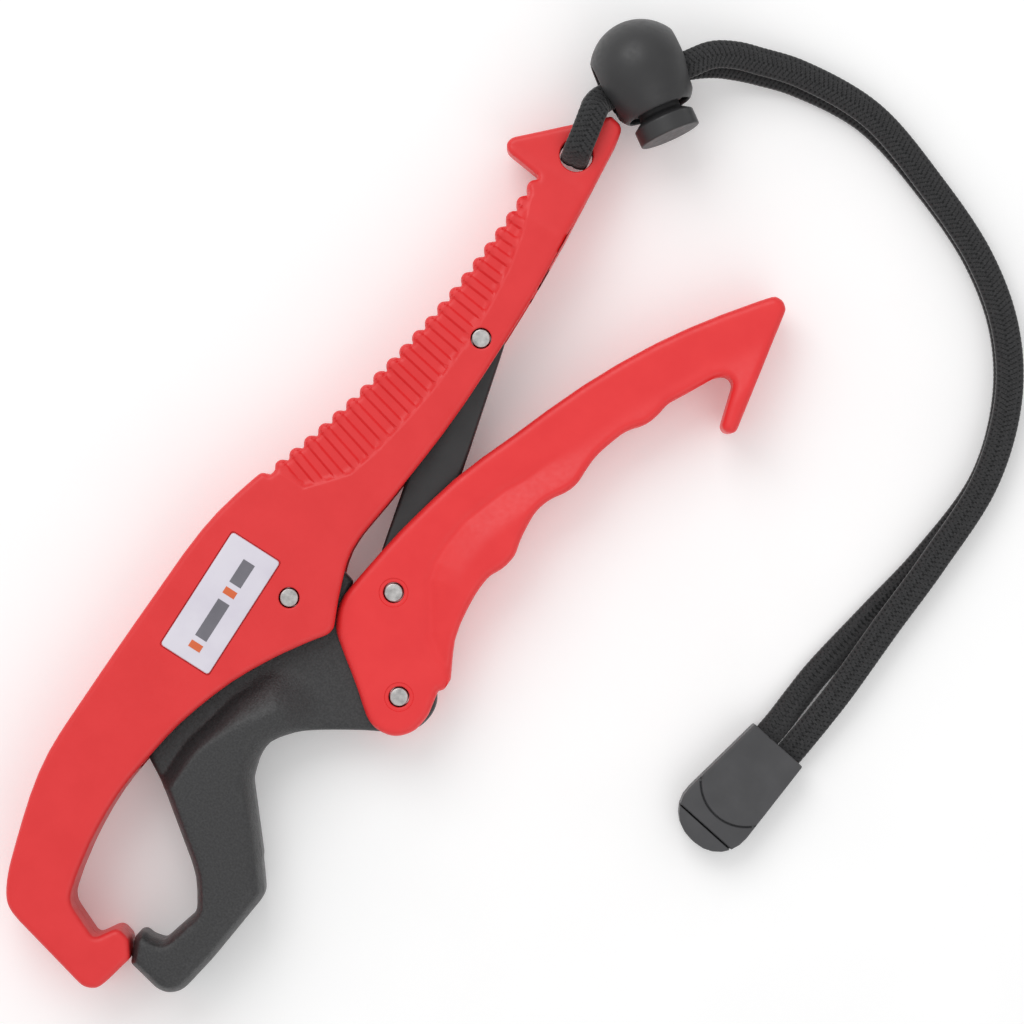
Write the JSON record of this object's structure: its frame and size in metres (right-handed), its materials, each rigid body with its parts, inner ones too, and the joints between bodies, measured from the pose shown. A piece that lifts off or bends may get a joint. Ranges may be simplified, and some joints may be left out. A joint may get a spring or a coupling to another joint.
{
  "type": "fish lip grip",
  "caption": "Floating fish lip grip: fixed and moving jaw, finger lever with toggle link, doubled wrist lanyard with a ball cord lock and an end clip.",
  "frame": {"origin": "centre of the grip's outline, without the lanyard, on the plane that its rear face lies on", "axes": "+Z out of the front face, +Y from the jaws to the lanyard end, +X towards the finger lever"},
  "size_m": [0.1671, 0.2815, 0.0246],
  "materials": {
    "body_plastic": "fine spark-eroded grain, satin",
    "lever_plastic": "fine spark-eroded grain, satin",
    "jaw_plastic": "coarse grain, satin",
    "link_plastic": "fine grain",
    "steel": "turned and flush",
    "foam": "closed-cell foam",
    "label": "smooth film, blank",
    "lock_plastic": "smooth satin",
    "clip_plastic": "fine grain",
    "lace": "flat knitted lace"
  },
  "bodies": {
    "root": {"body_front_shell": "body_plastic", "body_rear_shell": "body_plastic", "handle_float_core_lower": "foam", "handle_float_core_upper": "foam", "jaw_float_core": "foam", "label_plate": "label", "jaw_pivot_pin": "steel", "link_body_pin": "steel", "link_sleeve_rear": "steel", "link_sleeve_front": "steel", "return_spring": "steel", "lanyard_front_strand": "lace", "lanyard_rear_strand": "lace", "lock_ball": "lock_plastic", "lock_spring": "steel", "clip_base": "clip_plastic"},
    "jaw": {"moving_jaw": "jaw_plastic", "lever_pivot_pin": "steel"},
    "lever": {"lever_grip": "lever_plastic", "link_lever_pin": "steel"},
    "link": {"toggle_link": "link_plastic"},
    "plunger": {"lock_plunger": "lock_plastic"},
    "lid": {"clip_lid": "clip_plastic"}
  },
  "joints": [
    {"name": "jaw_pivot", "type": "hinge", "parent": "root", "child": "jaw", "pos_m": [-0.0209, -0.017, 0.01], "axis": [0, 0, 1], "range_deg": [0, 6], "stiffness_Nm_per_rad": 1.2, "springref_deg": -4.58, "deforming": ["return_spring"]},
    {"name": "lever_pivot", "type": "hinge", "parent": "jaw", "child": "lever", "pos_m": [0.01387, -0.02462, 0.01], "axis": [0, 0, 1], "range_deg": [0, 9.9]},
    {"name": "link_pivot", "type": "hinge", "parent": "root", "child": "link", "pos_m": [-0.01211, 0.05998, 0.01], "axis": [0, 0, 1], "range_deg": [-4.26, 0]},
    {"name": "plunger_slide", "type": "slide", "parent": "root", "child": "plunger", "axis": [-0.8059, 0.5855, -0.0872], "range_m": [0, 0.0022], "stiffness_N_per_m": 900, "springref_m": -0.004, "deforming": ["lock_spring"]},
    {"name": "lid_hinge", "type": "hinge", "parent": "root", "child": "lid", "pos_m": [0.09409, -0.01523, 0.008], "axis": [0.9785, -0.2062, 0], "range_deg": [0, 100]}
  ],
  "couplings": [
    {"joint": "lever_pivot", "follows": "jaw_pivot", "ratio": 1.6487},
    {"joint": "link_pivot", "follows": "jaw_pivot", "ratio": -0.7093}
  ]
}
